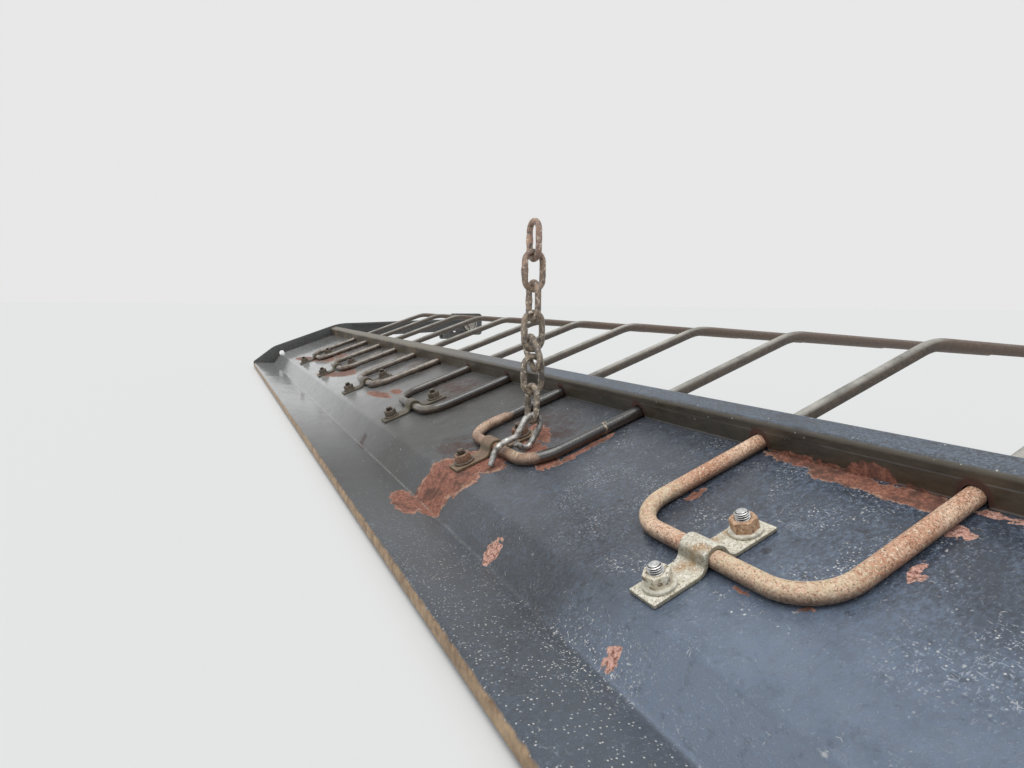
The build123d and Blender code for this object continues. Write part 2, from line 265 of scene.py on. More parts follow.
# Where the paint is off: each patch's X and Y, half its length each way and its turn in degrees. The left
# tine's come first, then the second tine's, then those at the far clamps.
primer_spots = [
    (-0.4480, -0.4355, 0.0440, 0.0052, -2), (-0.4300, -0.4400, 0.0220, 0.0070, 0),
    (-0.3920, -0.4400, 0.0280, 0.0080, 0), (-0.3530, -0.4360, 0.0100, 0.0028, 0),
    (-0.3590, -0.4550, 0.0070, 0.0050, 0), (-0.3555, -0.4890, 0.0030, 0.0085, 14),
    (-0.4870, -0.4920, 0.0030, 0.0090, 0), (-0.3720, -0.5330, 0.0040, 0.0020, 30),
    (-0.4020, -0.5390, 0.0050, 0.0016, 0), (-0.4262, -0.5935, 0.0048, 0.0042, 0),
    (-0.5665, -0.5940, 0.0080, 0.0055, 0),
    (-0.7180, -0.6110, 0.0360, 0.0120, -8), (-0.7000, -0.5940, 0.0340, 0.0130, -6),
    (-0.6940, -0.5750, 0.0420, 0.0190, 0), (-0.6900, -0.5520, 0.0380, 0.0140, 6),
    (-0.6165, -0.4920, 0.0045, 0.0320, 4), (-0.6900, -0.4930, 0.0280, 0.0075, -15),
    (-0.6650, -0.5130, 0.0280, 0.0080, 0), (-0.6240, -0.5220, 0.0100, 0.0090, 30),
    (-1.1000, -0.5410, 0.0500, 0.0075, 6), (-1.0750, -0.5220, 0.0200, 0.0060, 0),
    (-1.4300, -0.5520, 0.0850, 0.0110, 12), (-1.3950, -0.5280, 0.0550, 0.0100, 0),
    (-1.7800, -0.5480, 0.1200, 0.0130, 8), (-1.6900, -0.5230, 0.0900, 0.0140, 0),
    (-1.6200, -0.4980, 0.0500, 0.0110, 0)]
stain_and_shade_spots = [
    (-0.955, -0.470, 0.070, 0.028, 0), (-0.930, -0.500, 0.060, 0.012, 0), (-1.180, -0.455, 0.070, 0.022, 0),
    (-1.430, -0.455, 0.090, 0.024, 0), (-1.650, -0.470, 0.130, 0.030, 0), (-0.700, -0.485, 0.055, 0.032, 0),
    (-0.740, -0.545, 0.045, 0.022, 0), (-0.950, -0.599, 0.022, 0.005, 0)]
crust_spots = [
    (-0.456, -0.558, 0.030, 0.010, 20), (-0.405, -0.548, 0.050, 0.003, 0), (-0.440, -0.600, 0.050, 0.020, 0),
    (-0.470, -0.530, 0.012, 0.012, 0), (-0.395, -0.515, 0.020, 0.004, 0)]
second_bend = on_slope(0.155)
band_fall = radians(53.8)
lip_rise = radians(2.8)
first_bend = (second_bend[0] - 0.033 * cos(band_fall), second_bend[1] - 0.033 * sin(band_fall))
lip_edge = (first_bend[0] - 0.0555 * cos(lip_rise), first_bend[1] + 0.0555 * sin(lip_rise))
sheet_paint, shader, place = finish("charcoal_paint_sheet", 0.4, ior=1.55)
at_x, at_y = axes(place)[:2]
left_end = spread(at_x, -0.80, -0.42)
far_end = spread(at_x, -0.85, -1.35)
past_second_bend = spread(at_y, -0.5795, -0.5815)
past_first_bend = spread(at_y, -0.5985, -0.6005)
clouds = grain(place, 9, 5, 0.6, 0.38, 0.62)
patchy = grain(place, 45, 4, 0.62, 0.36, 0.64)

# The paint: blue-grey at the left end, partly a painted sky reflection, and paler below the left tine, where
# the blue is a painted sky reflection. Further on it is olive, partly a painted dark reflection, and at last
# pale:
# dust with a painted sky sheen.
paint_and_sky_tint = blend(clouds, (0.027, 0.034, 0.050), (0.046, 0.058, 0.082))
sky_sheen_below_tine = times(spread(at_x, -0.49, -0.38), spread(at_y, -0.49, -0.55))
sky_sheen_colour = blend(patchy, (0.130, 0.165, 0.225), (0.185, 0.225, 0.295))
paint_and_sky_tint = blend(times(sky_sheen_below_tine, 0.8), paint_and_sky_tint, sky_sheen_colour)
olive_and_dark_reflection = blend(patchy, (0.021, 0.018, 0.014), (0.042, 0.038, 0.031))
far_dust_and_sky_sheen = blend(patchy, (0.265, 0.265, 0.257), (0.340, 0.340, 0.332))
olive_and_dark_reflection = blend(times(far_end, spread(at_y, -0.475, -0.550, 0.35, 1.0)), olive_and_dark_reflection, far_dust_and_sky_sheen)
colour = blend(left_end, olive_and_dark_reflection, paint_and_sky_tint)
# Painted shade: the band and the lip are darkened, and the lip more in the middle.
colour = blend(times(past_second_bend, 0.30), colour, (0.012, 0.012, 0.013))
middle_lip_shade = times(past_first_bend, 0.4, spread(far_end, 0, 1, 1, 0), spread(left_end, 0, 1, 1.0, 0.2))
colour = blend(middle_lip_shade, colour, (0.012, 0.012, 0.012))
# Painted sky reflection: the band below the left tine is lightened to blue-grey.
near_band_sky_sheen = times(past_second_bend, spread(past_first_bend, 0, 1, 1, 0), spread(at_x, -0.49, -0.39))
colour = blend(times(near_band_sky_sheen, 0.75), colour, (0.160, 0.192, 0.250))
near_lip = times(past_first_bend, left_end)

# On it a smeared film of dust, its blue partly a painted sky reflection, dark bruises, then scratches, nicks
# and flecks of lime, thick in some patches.
smears = grain(stretched(place, (1.0, 0.55, 1.0), 30), 420, 4, 0.75, 0.42, 0.66)
dust_film_and_sky_tint = times(smears, spread(plus(clouds, patchy), 0.3, 1.7, 0.25, 0.80), spread(left_end, 0, 1, 0.12, 1.0))
colour = blend(dust_film_and_sky_tint, colour, (0.135, 0.185, 0.270))
bruises = times(grain(place, 150, 4, 0.65, 0.58, 0.70), spread(left_end, 0, 1, 0.3, 0.8))
bruises = times(most(bruises, specks(place, 46, 0.15, 0.12)), spread(sky_sheen_below_tine, 0, 1, 1.0, 0.35))
colour = blend(bruises, colour, (0.017, 0.020, 0.028))
colour = blend(times(near_lip, 0.6), colour, (0.036, 0.044, 0.054))
thick = spread(grain(place, 26, 4, 0.65, 0.49, 0.66), 0, 1, 0.08, 1.0)
thick = times(thick, spread(left_end, 0, 1, 0.22, 1.0), spread(sky_sheen_below_tine, 0, 1, 1.0, 0.4),
              spread(at_y, -0.535, -0.560, 1.0, 0.40))
strokes = most(grain(stretched(place, (1.0, 0.35, 1.0), 35), 900, 2, 0.6, 0.60, 0.66),
               grain(stretched(place, (0.35, 1.0, 1.0), 20), 960, 2, 0.6, 0.61, 0.67))
colour = blend(times(strokes, spread(thick, 0, 1, 0.05, 0.85)), colour, (0.44, 0.49, 0.57))
thick = most(thick, times(near_lip, 0.65))
paler = times(specks(place, 24, 0.20, 0.16), grain(place, 900, 3, 0.7, 0.44, 0.58), times(left_end, 0.7))
colour = blend(paler, colour, (0.42, 0.47, 0.54))
cracks = {"Vector": ragged(place, 0.002, 120), "Scale": 110.0}
cracks = node(place, "TexVoronoi", cracks, feature="DISTANCE_TO_EDGE").outputs["Distance"]
nicks = times(spread(cracks, 0.018, 0.008), grain(place, 170, 3, 0.6, 0.60, 0.68))
colour = blend(times(nicks, 0.75), colour, (0.54, 0.54, 0.53))
flecks = times(most(specks(place, 190, 0.16, 0.20), specks(place, 520, 0.29, 0.42)), thick)
crust = spread(spots_at(ragged(place, 0.03, 60), crust_spots), 1.0, 0.4)
crust = times(crust, grain(place, 520, 4, 0.75, 0.59, 0.64))
colour = blend(times(most(flecks, crust), 0.95), colour, (0.86, 0.84, 0.79))
# Red-brown stains, mostly between the rods' legs: partly real stain and partly painted shade.
stain_and_shade = spread(spots_at(ragged(place, 0.045, 40), stain_and_shade_spots), 1.15, 0.5)
stain_and_shade = times(stain_and_shade, grain(place, 75, 5, 0.65, 0.36, 0.60), 0.75)
colour = blend(stain_and_shade, colour, (0.070, 0.030, 0.020))

# Bare primer, fresher in the small spots, then the pale rubbed bend and the rusty front edge.
inside = spots_at(ragged(place, 0.016, 120), primer_spots)
bare = spread(inside, 1.0, 0.97)
primer = blend(times(far_end, 0.6), primer_on(place), (0.125, 0.070, 0.052))
fresh = times(spread(at_y, -0.560, -0.585), spread(at_x, -0.640, -0.600))
fresh = times(most(fresh, spread(at_x, -0.376, -0.366)), grain(place, 420, 5, 0.8, 0.40, 0.60))
primer = blend(fresh, primer, (0.76, 0.45, 0.37))
fringe = times(bare, spread(inside, 0.80, 0.98), grain(place, 170, 3, 0.6, 0.40, 0.60))
primer = blend(fringe, primer, (0.50, 0.30, 0.21))
colour = blend(bare, colour, primer)
worn_bend = times(along_line(place, *first_bend, 0.0014), spread(left_end, 0.8, 0.2))
worn_bend = times(worn_bend, grain(place, 60, 4, 0.7, 0.40, 0.60), 0.5)
colour = blend(worn_bend, colour, (0.38, 0.37, 0.34))
front = spread(axes(ragged(place, 0.0026, 130))[1], lip_edge[0] + 0.0016, lip_edge[0] + 0.0006)
edge_rust = blend(grain(place, 120, 4, 0.65), (0.42, 0.29, 0.17), (0.19, 0.115, 0.062))
colour = blend(front, colour, edge_rust)

# Smoothest at the far end and dull between, so that the pale room shows in it only far off.
dull = most(bare, front, times(dust_film_and_sky_tint, 0.35), stain_and_shade)
between = times(spread(left_end, 0, 1, 1, 0), spread(far_end, 0, 1, 1, 0))
smooth_part = plus(spread(far_end, 0, 1, 0.20, 0.10), times(between, 0.26))
show(shader, colour, plus(smooth_part, times(dull, 0.65)))
shader.inputs["Sheen Weight"].default_value = 0.12
shader.inputs["Sheen Roughness"].default_value = 0.45
shader.inputs["Sheen Tint"].default_value = (0.95, 0.95, 0.92, 1)
skin = times(plus(times(strokes, 0.4), times(smears, 0.35)), spread(left_end, 0, 1, 0.08, 1.0))
waves = relief(shader, grain(place, 11, 2, 0.5, 0.2, 0.8), 0.0006)
relief(shader, skin, 0.00020, waves)
dress(sheet_paint, "guard_sheet")

# Tine rail: a channel of 2.5 mm steel laid open side down along the sheet's rear edge and welded to it.
# Its top is rubbed grey-blue, the blue partly a painted sky reflection, and a painted highlight runs along
# its front edge. Its front is dusty brown, and the rods have rusted the rims of their holes.


def facing_up(shader):
    """How far the surface faces up, from minus one to one."""
    return axes(node(shader, "NewGeometry", {}).outputs["Normal"])[2]


middle = -1.0795
rail_height = 0.021
leg_pitch = 0.13
hole_up = on_slope(0.0, 0.0053)[1] + 0.0012
face_spots = [(-0.418, -0.0295, 0.015, 0.0105, 0), (-0.464, -0.0295, 0.013, 0.0052, 0),
              (-0.430, -0.0295, 0.058, 0.0030, 0)]
rail_paint, shader, place = finish("charcoal_paint_rail", 0.42, ior=1.7)
at_x = axes(place)[0]
far_side = spread(at_x, -0.90, -1.30)
clouds = grain(place, 14, 6, 0.6)
mottle = grain(stretched(place, (0.35, 1.0, 1.0)), 260, 8, 0.7, 0.38, 0.66)
fine = grain(place, 620, 3, 0.7, 0.44, 0.62)
# The top: grey-blue with pale flecks, the blue partly a painted sky reflection, and khaki further on.
top_coat_and_sky_tint = blend(mottle, (0.016, 0.021, 0.030), (0.062, 0.085, 0.122))
top_coat_and_sky_tint = blend(times(fine, spread(clouds, 0, 1, 0.10, 0.55)), top_coat_and_sky_tint, (0.20, 0.25, 0.32))
khaki = blend(mottle, (0.062, 0.048, 0.028), (0.155, 0.128, 0.080))
top_coat_and_sky_tint = blend(spread(at_x, -0.75, -1.20), top_coat_and_sky_tint, khaki)
front_coat = blend(clouds, (0.026, 0.020, 0.012), (0.066, 0.051, 0.031))
front_coat = blend(times(mottle, 0.35), front_coat, (0.13, 0.104, 0.068))
far_coat = blend(clouds, (0.075, 0.055, 0.033), (0.20, 0.150, 0.095))
front_coat = blend(times(far_side, 0.7), front_coat, far_coat)
colour = blend(spread(facing_up(shader), 0.45, 0.8), front_coat, top_coat_and_sky_tint)
# Painted highlight along the top's front edge; pale lines half way up the front and at the seam share its
# grey.
edge = times(along_line(place, *on_slope(0.0, rail_height), 0.0016), grain(place, 60, 4, 0.6, 0.30, 0.6))
half_way = times(along_line(place, *on_slope(0.0, 0.0132), 0.0006), clouds, 0.4)
seam = times(along_line(place, *on_slope(0.0, 0.0010), 0.0009), 0.6)
colour = blend(times(most(edge, half_way, seam), 0.7), colour, (0.36, 0.36, 0.37))
colour = blend(times(specks(place, 330, 0.22, 0.10), 0.8), colour, (0.50, 0.48, 0.43))
across = axes(ragged(place, 0.003, 160))
from_hole = {0: plus(across[0], leg_pitch / -2 - middle), 1: leg_pitch / 2, 2: leg_pitch / -2}
from_hole = node(place, "Math", from_hole, operation="WRAP").outputs[0]
around = node(place, "CombineXYZ", {"X": from_hole, "Y": plus(across[2], -hole_up)}).outputs[0]
rim = spread(node(place, "VectorMath", {0: around}, operation="LENGTH").outputs["Value"], 0.0092, 0.0072)
colour = blend(rim, colour, blend(far_side, (0.060, 0.017, 0.009), (0.27, 0.17, 0.095)))
torn = axes(ragged(place, 0.012, 130))
on_face = node(place, "CombineXYZ", {"X": torn[0], "Y": torn[2]}).outputs[0]
bare = times(spread(spots_at(on_face, face_spots), 1.0, 0.95), spread(torn[1], -0.4275, -0.4285))
colour = blend(bare, colour, primer_on(place))
show(shader, colour, spread(most(bare, rim, times(mottle, 0.4)), 0, 1, 0.34, 0.82))
relief(shader, plus(grain(place, 420, 6, 0.6, 0.2, 0.8), times(rim, -0.6)), 0.00008)
dress(rail_paint, "tine_rail")

# Tines: 10 mm rod bent to a U, straight through the rail and cranked level behind it.
# The left one is rusty all over with cream lime at its bends. The rest keep black paint, with polished legs.
# Behind the rail crop has rubbed every rod to grey steel on top, with brown dirt underneath. There the tops
# are also lightened as a painted highlight, and on every rod the undersides are darkened as painted shade.
lime_spots = [
    (-0.380, -0.524, 0.030, 0.020, 35), (-0.405, -0.536, 0.030, 0.008, 0), (-0.484, -0.520, 0.020, 0.024, 0),
    (-0.648, -0.533, 0.012, 0.009, 35), (-0.616, -0.4700, 0.020, 0.0016, 0)]
rusty_spots = [(-0.690, -0.535, 0.075, 0.014, 0), (-0.745, -0.520, 0.014, 0.028, 0)]
rod_steel, shader, place = finish("rusty_and_polished_rod", 0.4, ior=1.8)
at_x, at_y = axes(ragged(place, 0.03, 30))[:2]
fine = grain(place, 520, 6, 0.7)
broad = grain(place, 38, 4, 0.6)
rust = blend(broad, (0.56, 0.250, 0.140), (0.90, 0.640, 0.450))
rust = blend(grain(place, 560, 4, 0.75, 0.48, 0.64), rust, (0.30, 0.125, 0.058))
rust = blend(grain(place, 900, 3, 0.7, 0.54, 0.64), rust, (0.93, 0.77, 0.58))
rust = blend(grain(place, 1100, 3, 0.6, 0.60, 0.66), rust, (0.070, 0.038, 0.025))
past_left = times(spread(at_x, -0.575, -0.600), spread(broad, 0, 1, 0.88, 0.25))
rust = blend(past_left, rust, (0.115, 0.058, 0.024))
black = blend(broad, (0.014, 0.014, 0.015), (0.030, 0.029, 0.028))
black = blend(grain(place, 160, 6, 0.7, 0.60, 0.74), black, (0.11, 0.075, 0.050))
torn = ragged(place, 0.02, 60)
rusty = most(spread(at_x, -0.575, -0.560), spread(spots_at(torn, rusty_spots), 1.05, 0.85))
coat = blend(rusty, black, rust)
lime = times(spread(spots_at(torn, lime_spots), 1.2, 0.4), grain(place, 380, 5, 0.75, 0.42, 0.56))
coat = blend(lime, coat, blend(fine, (0.56, 0.42, 0.25), (0.86, 0.74, 0.53)))
dots = times(grain(place, 840, 3, 0.7, 0.58, 0.64), rusty, 0.8)
coat = blend(dots, coat, (0.13, 0.075, 0.040))
far_lime = spread(axes(ragged(place, 0.03, 40))[1], -0.518, -0.535)
far_lime = times(far_lime, grain(place, 46, 5, 0.6, 0.44, 0.60), spread(at_x, -0.80, -0.86), 0.45)
coat = blend(far_lime, coat, (0.34, 0.27, 0.19))
tan = blend(grain(place, 90, 4, 0.65), (0.060, 0.038, 0.024), (0.26, 0.205, 0.150))
coat = blend(times(spread(at_x, -0.98, -1.10), 0.85), coat, tan)
facing = facing_up(shader)
# Painted shade: the faces that look downward are darkened to brown.
underside_shade = times(spread(facing, 0.40, -0.40), spread(fine, 0, 1, 0.95, 0.6))
coat = blend(underside_shade, coat, (0.075, 0.042, 0.026))

# Behind the rail: paler on top, rubbed steel and partly a painted highlight, near black underneath, dirt and
# partly painted shade, and darker past the crest.
rubbed_and_lit_top = blend(broad, (0.21, 0.20, 0.175), (0.48, 0.46, 0.41))
dirt_and_shade_below = blend(grain(place, 240, 4, 0.7), (0.020, 0.013, 0.008), (0.085, 0.055, 0.032))
rear_coat = blend(spread(facing, 0.45, 0.85), dirt_and_shade_below, rubbed_and_lit_top)
dark = blend(fine, (0.045, 0.026, 0.016), (0.15, 0.085, 0.05))
rear_coat = blend(times(spread(at_y, -0.270, -0.240), 0.8), rear_coat, dark)
rear_coat = blend(grain(place, 420, 6, 0.7, 0.58, 0.70), rear_coat, (0.05, 0.034, 0.024))
rear = spread(at_y, -0.428, -0.412)
coat = blend(rear, coat, rear_coat)
rough_part = most(times(rusty, spread(at_x, -0.600, -0.575, 0.45, 1.0)), lime, times(rear, 0.75))
show(shader, coat, spread(rough_part, 0, 1, 0.20, 0.78))
relief(shader, times(grain(place, 700, 6, 0.65, 0.3, 0.7), spread(rough_part, 0, 1, 0.25, 1.0)), 0.00028)
dress(rod_steel, *[f"tine_{number}" for number in range(1, 7)])

# Clamps: 20 mm wide strap pressed over the rod's front bar, zinc plated, with a foot each side for a bolt.
# The left one is pale and pitted with an olive stain; the others have gone brown and grey.
strap_width = 0.02
strap_thickness = 0.0025
foot_end = 0.041
foot_flat = 0.01335
foot_bend_height = 0.0088
hump_height = 0.0053
bolt_off = 0.029
bend_turn = radians(75.3)
bpy.ops.object.select_all(action="DESELECT")
bpy.ops.mesh.primitive_plane_add(size=strap_width, location=(0, foot_end + strap_width / 2, 0.0028))
strap = bpy.context.object
strap.name = "strap"
bpy.ops.object.transform_apply()


def choose(piece, test, kind="VERT"):
    """In edit mode, only the corners or edges that pass a test are chosen."""
    bpy.ops.object.mode_set(mode="EDIT")
    bpy.ops.mesh.select_mode(type=kind)
    bpy.ops.mesh.select_all(action="DESELECT")
    bpy.ops.object.mode_set(mode="OBJECT")
    mesh = piece.data
    if kind == "VERT":
        for corner in mesh.vertices:
            corner.select = test(corner.co)
    else:
        for side in mesh.edges:
            side.select = all(test(mesh.vertices[index].co) for index in side.vertices)
    bpy.ops.object.mode_set(mode="EDIT")


def settle(piece, kind, **settings):
    """A modifier added with its settings and applied."""
    bpy.context.view_layer.objects.active = piece
    added = piece.modifiers.new(kind.lower(), kind)
    for name, value in settings.items():
        setattr(added, name, value)
    bpy.ops.object.modifier_apply(modifier=added.name)


def only(piece):
    """That piece alone is selected and active."""
    bpy.ops.object.select_all(action="DESELECT")
    piece.select_set(True)
    bpy.context.view_layer.objects.active = piece


def smooth(piece, angle):
    """Smooth shading that keeps the edges sharper than an angle."""
    only(piece)
    bpy.ops.object.shade_smooth_by_angle(angle=radians(angle))


def copy_of(template, name, at=(0, 0, 0), turn=(0, 0, 0)):
    """A copy with its own mesh, put in place, with its place then in its mesh."""
    piece = template.copy()
    piece.data = template.data.copy()
    piece.name = name
    bpy.context.collection.objects.link(piece)
    piece.location = at
    piece.rotation_euler = turn
    only(piece)
    bpy.ops.object.transform_apply(location=True, rotation=True, scale=True)
    return piece


def past_first(place):
    """Nought at the left clamp, one at all the others."""
    return spread(axes(place)[0], -0.55, -0.60)


# Only the plane's edge at one foot's end is kept. From there the strap is drawn on: flat, up round a bend,
# over the rod, down another bend and flat again.
choose(strap, lambda co: co.y > foot_end + 0.005)
bpy.ops.mesh.delete(type="VERT")
bpy.ops.mesh.select_all(action="SELECT")
bpy.ops.mesh.extrude_edges_move(TRANSFORM_OT_translate={"value": (0, foot_flat - foot_end, 0)})
bpy.ops.mesh.spin(steps=6, angle=bend_turn, center=(0, foot_flat, foot_bend_height), axis=(1, 0, 0))
bpy.ops.mesh.spin(steps=14, angle=2 * bend_turn, center=(0, 0, hump_height), axis=(-1, 0, 0))
bpy.ops.mesh.spin(steps=6, angle=bend_turn, center=(0, -foot_flat, foot_bend_height), axis=(1, 0, 0))
bpy.ops.mesh.extrude_edges_move(TRANSFORM_OT_translate={"value": (0, foot_flat - foot_end, 0)})
bpy.ops.mesh.select_all(action="SELECT")
bpy.ops.mesh.normals_make_consistent(inside=False)
bpy.ops.object.mode_set(mode="OBJECT")
if strap.data.polygons[0].normal.z < 0:
    strap.data.flip_normals()
settle(strap, "SOLIDIFY", thickness=strap_thickness, offset=-1)
bpy.ops.mesh.primitive_cylinder_add(vertices=40, radius=0.0045, depth=0.02)
drill = bpy.context.object
for y in (bolt_off, -bolt_off):
    drill.location.y = y
    settle(strap, "BOOLEAN", object=drill, operation="DIFFERENCE", solver="EXACT")
bpy.data.objects.remove(drill)
settle(strap, "BEVEL", width=0.0006, segments=3, limit_method="ANGLE", angle_limit=radians(50))
smooth(strap, 40)
strap_stains = [(-0.4275, -0.5430, 0.008, 0.0035, 20), (-0.4340, -0.5480, 0.004, 0.0060, 0),
                (-0.4360, -0.5130, 0.007, 0.0040, 0), (-0.4395, -0.5265, 0.006, 0.0100, 0)]
strap_zinc, shader, place = finish("pale_zinc_strap", 0.5, ior=1.6)
torn = ragged(place, 0.02, 50)
fine = grain(place, 560, 7, 0.72, 0.38, 0.62)
broad = grain(place, 70, 5, 0.6)
pale = blend(broad, (0.78, 0.73, 0.60), (0.95, 0.93, 0.84))
pale = blend(times(fine, 0.75), pale, (0.42, 0.36, 0.25))
stain_at = spots_at(ragged(place, 0.012, 120), strap_stains)
pale = blend(times(spread(stain_at, 1.1, 0.3), 0.8), pale, (0.42, 0.23, 0.085))
pale = blend(grain(place, 1000, 3, 0.65, 0.55, 0.63), pale, (0.21, 0.175, 0.125))
pale = blend(grain(place, 840, 3, 0.65, 0.60, 0.66), pale, (0.97, 0.95, 0.88))
brown = blend(broad, (0.085, 0.042, 0.024), (0.27, 0.15, 0.08))
brown = blend(times(fine, 0.6), brown, (0.30, 0.24, 0.17))
grey = blend(broad, (0.024, 0.019, 0.015), (0.13, 0.105, 0.078))
grey = blend(times(fine, 0.4), grey, (0.28, 0.25, 0.20))
aged = blend(spread(axes(torn)[0], -0.80, -0.85), brown, grey)
coat = blend(past_first(torn), pale, aged)
# Painted shade: faces that look less upward, the flanks and edges, are darkened to olive.
coat = blend(times(spread(facing_up(shader), 0.50, 0.20), 0.66), coat, (0.115, 0.100, 0.058))
show(shader, coat, spread(fine, 0, 1, 0.50, 0.80))
relief(shader, grain(place, 520, 6, 0.65, 0.3, 0.7), 0.00022)
strap.data.materials.append(strap_zinc)
clamp_down = 0.108
clamp_offsets = (-0.008, 0.006, 0.006, 0.006, -0.008, -0.002)
clamp_x = [middle + (2 * number - 5) * leg_pitch + off for number, off in enumerate(clamp_offsets)]
for number, x in enumerate(clamp_x, 1):
    piece = copy_of(strap, f"strap_{number}", (x, *on_slope(clamp_down)), (slope, 0, 0))
    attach(piece, "guard")
    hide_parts(f"clamp_{number}")
bpy.data.objects.remove(strap)

# Clamp bolts: M8 bolts put in from below, each with a flat washer and a chamfered nut on the strap's foot.
# The stud's end stands proud with its thread showing. Nuts and washers are zinc gone cream or brown.


def turned(name, low, high, radius, round_top=0.0, round_bottom=0.0, sides=40):
    """A bar turned about Z between two heights, with its rims rounded."""
    bpy.ops.object.select_all(action="DESELECT")
    half_way = (0, 0, (low + high) / 2)
    bpy.ops.mesh.primitive_cylinder_add(vertices=sides, radius=radius, depth=high - low, location=half_way)
    piece = bpy.context.object
    piece.name = name
    bpy.ops.object.transform_apply()
    for height, amount in ((high, round_top), (low, round_bottom)):
        if amount:
            choose(piece, lambda co: abs(co.z - height) < 1e-6, "EDGE")
            bpy.ops.mesh.bevel(offset=amount, segments=4, affect="EDGES")
            bpy.ops.object.mode_set(mode="OBJECT")
    return piece


def cut_by(piece, blank, kind):
    """The piece cut by a blank, or down to what lies inside it. The blank is then thrown away."""
    settle(piece, "BOOLEAN", object=blank, operation=kind, solver="EXACT")
    bpy.data.objects.remove(blank)


def hexagon(name, low, high, chamfer_up):
    """A hexagon bar, 13 mm across its flats, whose corners are turned off at one end."""
    half_flats = 0.0065
    face_radius = 0.0062
    chamfer_slope = 1.732
    piece = turned(name, low, high, half_flats / cos(pi / 6), sides=6)
    tall = high - low
    radii = [face_radius + tall * chamfer_slope, face_radius]
    if not chamfer_up:
        radii.reverse()
    bpy.ops.mesh.primitive_cone_add(vertices=60, radius1=radii[0], radius2=radii[1], depth=tall,
                                    location=(0, 0, (low + high) / 2))
    cut_by(piece, bpy.context.object, "INTERSECT")
    return piece


washer_seat = 0.0031
washer_top = 0.0047
nut_top = 0.0112
under_sheet = -0.0033
head_end = -0.0086
stud_end = 0.0152
stud_radius = 0.0031
thread_radius = 0.0033
nut = hexagon("nut", washer_top, nut_top, True)
bpy.ops.mesh.primitive_cone_add(vertices=40, radius1=0.0036, radius2=0.0049, depth=0.0012,
                                location=(0, 0, nut_top - 0.0005))
cut_by(nut, bpy.context.object, "DIFFERENCE")
settle(nut, "BEVEL", width=0.00035, segments=2, limit_method="ANGLE", angle_limit=radians(25))
washer = turned("washer", washer_seat, washer_top, 0.009, 0.0005, 0.0003, 56)
head = hexagon("head", head_end, under_sheet, False)
settle(head, "BEVEL", width=0.00035, segments=2, limit_method="ANGLE", angle_limit=radians(25))
stud = turned("stud", under_sheet, stud_end, stud_radius, 0.0008)

# The thread is a small triangle wound four times round the stud.
bpy.ops.mesh.primitive_circle_add(vertices=3, radius=0.00070, fill_type="NOTHING", rotation=(0, 0, -pi / 2))
thread = bpy.context.object
bpy.ops.object.transform_apply()
bpy.ops.object.mode_set(mode="EDIT")
bpy.ops.mesh.select_all(action="SELECT")
bpy.ops.mesh.subdivide(number_cuts=1)
bpy.ops.object.mode_set(mode="OBJECT")
thread.rotation_euler.x = pi / 2
thread.location = (thread_radius, 0, 0.0097)
bpy.ops.object.transform_apply()
settle(thread, "SCREW", axis="Z", angle=2 * pi, screw_offset=0.00125, iterations=4, steps=30, render_steps=30,
       use_merge_vertices=False)
only(thread)
bpy.ops.object.mode_set(mode="EDIT")
bpy.ops.mesh.select_all(action="SELECT")
bpy.ops.mesh.remove_doubles(threshold=0.00001)
bpy.ops.mesh.normals_make_consistent(inside=False)
bpy.ops.object.mode_set(mode="OBJECT")

# The nuts and bolt heads, the washers, the stud, and the dark between the thread's turns, dirt and painted
# shade.
nut_zinc, shader, place = finish("zinc_nut_cream_and_brown", 0.6, ior=1.6)
at_x, at_y = axes(place)[:2]
fine = grain(place, 620, 7, 0.7, 0.36, 0.64)
broad = grain(place, 150, 5, 0.6)
cream = blend(broad, (0.62, 0.53, 0.36), (0.90, 0.86, 0.74))
cream = blend(grain(place, 420, 5, 0.6, 0.53, 0.64), cream, (0.17, 0.115, 0.070))
orange = blend(broad, (0.30, 0.125, 0.055), (0.60, 0.34, 0.19))
orange = blend(times(fine, 0.65), orange, (0.80, 0.60, 0.42))
orange = blend(grain(place, 700, 3, 0.65, 0.56, 0.64), orange, (0.14, 0.060, 0.030))
dark = blend(broad, (0.028, 0.020, 0.015), (0.12, 0.085, 0.058))
dark = blend(spread(at_x, -0.80, -0.76), dark, blend(fine, (0.12, 0.050, 0.028), (0.34, 0.17, 0.10)))
dark = blend(times(fine, 0.4), dark, (0.28, 0.24, 0.18))
near = blend(spread(at_y, -0.530, -0.525), cream, orange)
show(shader, blend(past_first(place), near, dark))
relief(shader, fine, 0.00018)
washer_zinc, shader, place = finish("zinc_washer", 0.6, ior=1.6)
broad = grain(place, 260, 6, 0.65)
near = blend(broad, (0.42, 0.39, 0.31), (0.76, 0.73, 0.63))
dark = blend(broad, (0.045, 0.035, 0.028), (0.17, 0.13, 0.09))
show(shader, blend(past_first(place), near, dark))
relief(shader, grain(place, 600, 5, 0.6, 0.3, 0.7), 0.00015)
stud_steel, shader, place = finish("bright_thread", 0.38, metallic=0.75, ior=1.6)
broad = grain(place, 400, 5, 0.65)
near = blend(broad, (0.40, 0.40, 0.41), (0.82, 0.82, 0.80))
dark = blend(broad, (0.06, 0.045, 0.036), (0.20, 0.15, 0.11))
show(shader, blend(past_first(place), near, dark))
relief(shader, broad, 0.00008)
thread_shade_and_dirt, shader, place = finish("shade_and_dirt_in_thread", 0.7)
show(shader, blend(grain(place, 400, 5, 0.65), (0.012, 0.009, 0.007), (0.055, 0.038, 0.024)))


def paint(piece, material):
    """The piece takes that material alone."""
    piece.data.materials.clear()
    piece.data.materials.append(material)


